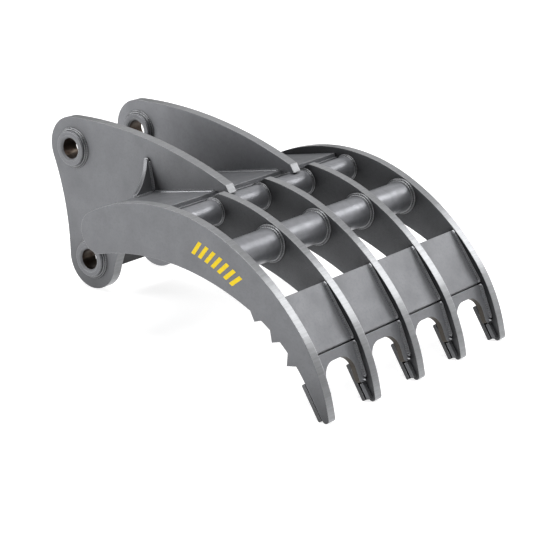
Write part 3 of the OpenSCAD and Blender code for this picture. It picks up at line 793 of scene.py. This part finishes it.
class RAKE_OT_deck_beads(bpy.types.Operator):
    """Lays the weld beads along the ears and the gussets on the deck"""
    bl_idname = "rake.deck_beads"
    bl_label = "Lay deck beads"

    def execute(self, context):
        sizes, colours = context.scene.rake_beads, context.scene.rake_paint
        leg, pitch = sizes.deck_leg, sizes.ripple
        material = metallic_enamel_over_weld_bead(
            colours, "metallic_enamel_over_deck_bead", colours.bead)
        rng = random.Random(23)
        way, up = slope(DECK_WAY), slope(DECK_WAY + 90)
        top = reach("deck_plate", up)[1] + CLEAR
        rear, front = reach("deck_plate", way)
        gusset_rear, gusset_front = reach("right_gusset", way)
        gusset_top = reach("right_gusset", up)[1]
        bm = bmesh.new()
        for name, outer in (("right_ear", -1), ("left_ear", 1)):
            lo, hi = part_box(name)
            for y, out in ((lo.y, -1), (hi.y, 1)):
                # Outside the ear, the bead starts at the gusset
                start = gusset_front + FIT if out == outer else rear + DECK_MARGIN
                corner = way * start + up * top + ACROSS * (y + out * CLEAR)
                bead(bm, straight(corner, way, ACROSS * out, up),
                     front - DECK_MARGIN - start, leg, pitch, rng)
        new_piece("ear_beads", bm, material, "weld_bead", "ear_welds")
        bm = bmesh.new()
        for name, outer in (("right_gusset", -1), ("left_gusset", 1)):
            lo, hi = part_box(name)
            root = ACROSS * (hi.y if outer < 0 else lo.y)
            side = ACROSS * outer
            width = hi.y - lo.y
            for at, out in ((gusset_rear, -1), (gusset_front, 1)):
                face = way * (at + out * CLEAR) + root
                # In front, the bead along the ear fills the corner already
                taken = leg + FIT if out > 0 else 0.0
                bead(bm, straight(face + up * top + side * taken, side, way * out, up),
                     width - taken - EDGE_MARGIN, leg, pitch, rng)
                bead(bm, straight(face + up * (top + leg + FIT), up, way * out, side),
                     gusset_top - top - 2 * leg, leg, pitch, rng)
            peak = way * ((gusset_rear + gusset_front) / 2) + up * (gusset_top + PEAK_RISE)
            dab(bm, peak + root + side * PEAK_OFF_EAR, PEAK_DAB, rng)
        new_piece("gusset_beads", bm, material, "weld_bead", "gusset_welds")
        return {"FINISHED"}


class RAKE_OT_plate_beads(bpy.types.Operator):
    """Lays the weld beads along the plates between the tines"""
    bl_idname = "rake.plate_beads"
    bl_label = "Lay plate beads"

    def execute(self, context):
        sizes, colours = context.scene.rake_beads, context.scene.rake_paint
        leg, pitch = sizes.plate_leg, sizes.ripple
        material = metallic_enamel_over_weld_bead(
            colours, "metallic_enamel_over_plate_bead", colours.bead)
        rng = random.Random(37)
        for names, degrees, short, title, node in (
                (UPPER_PLATES, UPPER_WAY, 0.0, "upper_plate_beads", "upper_plate_welds"),
                (ARCH_PLATES, ARCH_WAY, ARCH_SHORT, "arch_plate_beads", "arch_plate_welds")):
            way, up = slope(degrees), slope(degrees + 90)
            bm = bmesh.new()
            for name in names:
                start, end = reach(name, way)
                top = reach(name, up)[1] + CLEAR
                lo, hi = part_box(name)
                for tine_y, side in ((lo.y - FIT, 1), (hi.y + FIT, -1)):
                    across = ACROSS * side
                    wall = ACROSS * (tine_y + side * CLEAR)
                    bead(bm, straight(way * start + up * top + wall, way, across, up),
                         end - start - short, leg, pitch, rng)
                    if short:
                        foot = way * (end - DAB_FROM_FOOT) + up * (top + DAB_RISE)
                        dab(bm, foot + wall + across * DAB_OFF_ROOT, FOOT_DAB, rng)
            new_piece(title, bm, material, "weld_bead", node)
        return {"FINISHED"}


class RAKE_OT_joint_beads(bpy.types.Operator):
    """Lays the root beads low in the joints between the upper plates and the arch plates"""
    bl_idname = "rake.joint_beads"
    bl_label = "Lay joint beads"

    def execute(self, context):
        sizes, colours = context.scene.rake_beads, context.scene.rake_paint
        rng = random.Random(41)
        way, up = slope(UPPER_WAY), slope(UPPER_WAY + 90)
        bm = bmesh.new()
        for name in UPPER_PLATES:
            lo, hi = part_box(name)
            end, top = reach(name, way)[1], reach(name, up)[1]
            corner = way * (end - CLEAR) + up * (top - sizes.joint_depth) + ACROSS * lo.y
            bead(bm, straight(corner, ACROSS, way, up), hi.y - lo.y, sizes.joint_leg,
                 sizes.ripple, rng)
        material = metallic_enamel_over_weld_bead(
            colours, "metallic_enamel_over_root_bead", colours.bead)
        new_piece("joint_beads", bm, material, "weld_bead")
        return {"FINISHED"}


class RAKE_OT_marking_bars(bpy.types.Operator):
    """Brushes plain yellow bars on the outer face of the first tine"""
    bl_idname = "rake.marking_bars"
    bl_label = "Brush marking bars"

    def execute(self, context):
        face_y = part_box("tine_1")[0].y
        bm = bmesh.new()
        for k in range(BAR_COUNT):
            degrees = FIRST_BAR_WAY - BAR_STEP * k
            out, along = slope(degrees), slope(degrees - 90)
            base = BAR_CENTRE + out * BAR_RADIUS
            outline = [
                base + along * (half + end * BAR_LEAN) + out * end * BAR_HALF_HEIGHT
                for half, end in ((-BAR_HALF_WIDTH, -1), (BAR_HALF_WIDTH, -1),
                                  (BAR_HALF_WIDTH, 1), (-BAR_HALF_WIDTH, 1))]
            low, high = ([bm.verts.new(p + ACROSS * (face_y - off)) for p in outline]
                         for off in (BAR_LOW, BAR_HIGH))
            bm.faces.new(low)
            bm.faces.new(list(reversed(high)))
            for i in range(4):
                bm.faces.new((low[i], high[i], high[(i + 1) % 4], low[(i + 1) % 4]))
        new_piece("marking_bars", bm, brushed_yellow_enamel(context.scene.rake_paint), "grey_paint")
        return {"FINISHED"}


class RAKE_OT_studio(bpy.types.Operator):
    """Sets the pale floor, the soft lights and the camera"""
    bl_idname = "rake.studio"
    bl_label = "Set the studio"

    def execute(self, context):
        scene, studio = context.scene, context.scene.rake_studio
        bm = bmesh.new()
        bmesh.ops.create_grid(bm, x_segments=8, y_segments=8, size=FLOOR_HALF)
        mesh = bpy.data.meshes.new("floor")
        bm.to_mesh(mesh)
        bm.free()
        mesh.materials.append(opal_acrylic_sheet(studio.floor))
        floor = bpy.data.objects.new("floor", mesh)
        floor.location = (*FLOOR_CENTRE, cad_box[0].z - FLOOR_DROP)
        scene.collection.objects.link(floor)
        for name, (way, width) in LIGHTS.items():
            lamp = bpy.data.lights.new(name, "SUN")
            lamp.angle = math.radians(width)
            lamp.energy = getattr(studio, name)
            holder = bpy.data.objects.new(name, lamp)
            holder.rotation_euler = Vector(way).to_track_quat("Z", "Y").to_euler()
            scene.collection.objects.link(holder)
        world = bpy.data.worlds.new("white_surround")
        world.use_nodes = True
        surround = world.node_tree.nodes["Background"].inputs
        surround["Color"].default_value = (1, 1, 1, 1)
        surround["Strength"].default_value = studio.sky
        scene.world = world
        scene.view_settings.view_transform = "Standard"
        scene.view_settings.look = "None"
        lens = bpy.data.cameras.new("camera")
        lens.sensor_width = SENSOR_MM
        lens.lens = SENSOR_MM * FOCAL_PIXELS / PICTURE_PIXELS
        lens.clip_end = 100
        camera = bpy.data.objects.new("camera", lens)
        camera.matrix_world = Matrix.Translation(CAMERA_AT) @ CAMERA_TURN.to_4x4()
        scene.collection.objects.link(camera)
        scene.camera = camera
        return {"FINISHED"}


class RAKE_PT_panel(bpy.types.Panel):
    """Lists the steps that dress the rake"""
    bl_idname = "RAKE_PT_panel"
    bl_label = "Excavator rake"
    bl_space_type = "VIEW_3D"
    bl_region_type = "UI"
    bl_category = "Rake"

    def draw(self, context):
        for name in GROUPS:
            group = getattr(context.scene, name)
            box = self.layout.box()
            for key in group.__annotations__:
                box.prop(group, key)
        for step in STEPS:
            self.layout.operator(step.bl_idname)


GROUPS = {"rake_paint": RakePaint, "rake_beads": RakeBeads, "rake_studio": RakeStudio}
STEPS = [RAKE_OT_studio, RAKE_OT_paint_plates, RAKE_OT_finish_steel, RAKE_OT_round_beads,
         RAKE_OT_deck_beads, RAKE_OT_plate_beads, RAKE_OT_joint_beads, RAKE_OT_marking_bars]


def register():
    for cls in (*GROUPS.values(), *STEPS, RAKE_PT_panel):
        bpy.utils.register_class(cls)
    for key, cls in GROUPS.items():
        setattr(bpy.types.Scene, key, bpy.props.PointerProperty(type=cls))


def unregister():
    for key in GROUPS:
        delattr(bpy.types.Scene, key)
    for cls in reversed((*GROUPS.values(), *STEPS, RAKE_PT_panel)):
        bpy.utils.unregister_class(cls)


def main():
    register()
    for step in STEPS:
        getattr(bpy.ops.rake, step.bl_idname.split(".")[1])()


if __name__ == "__main__":
    main()
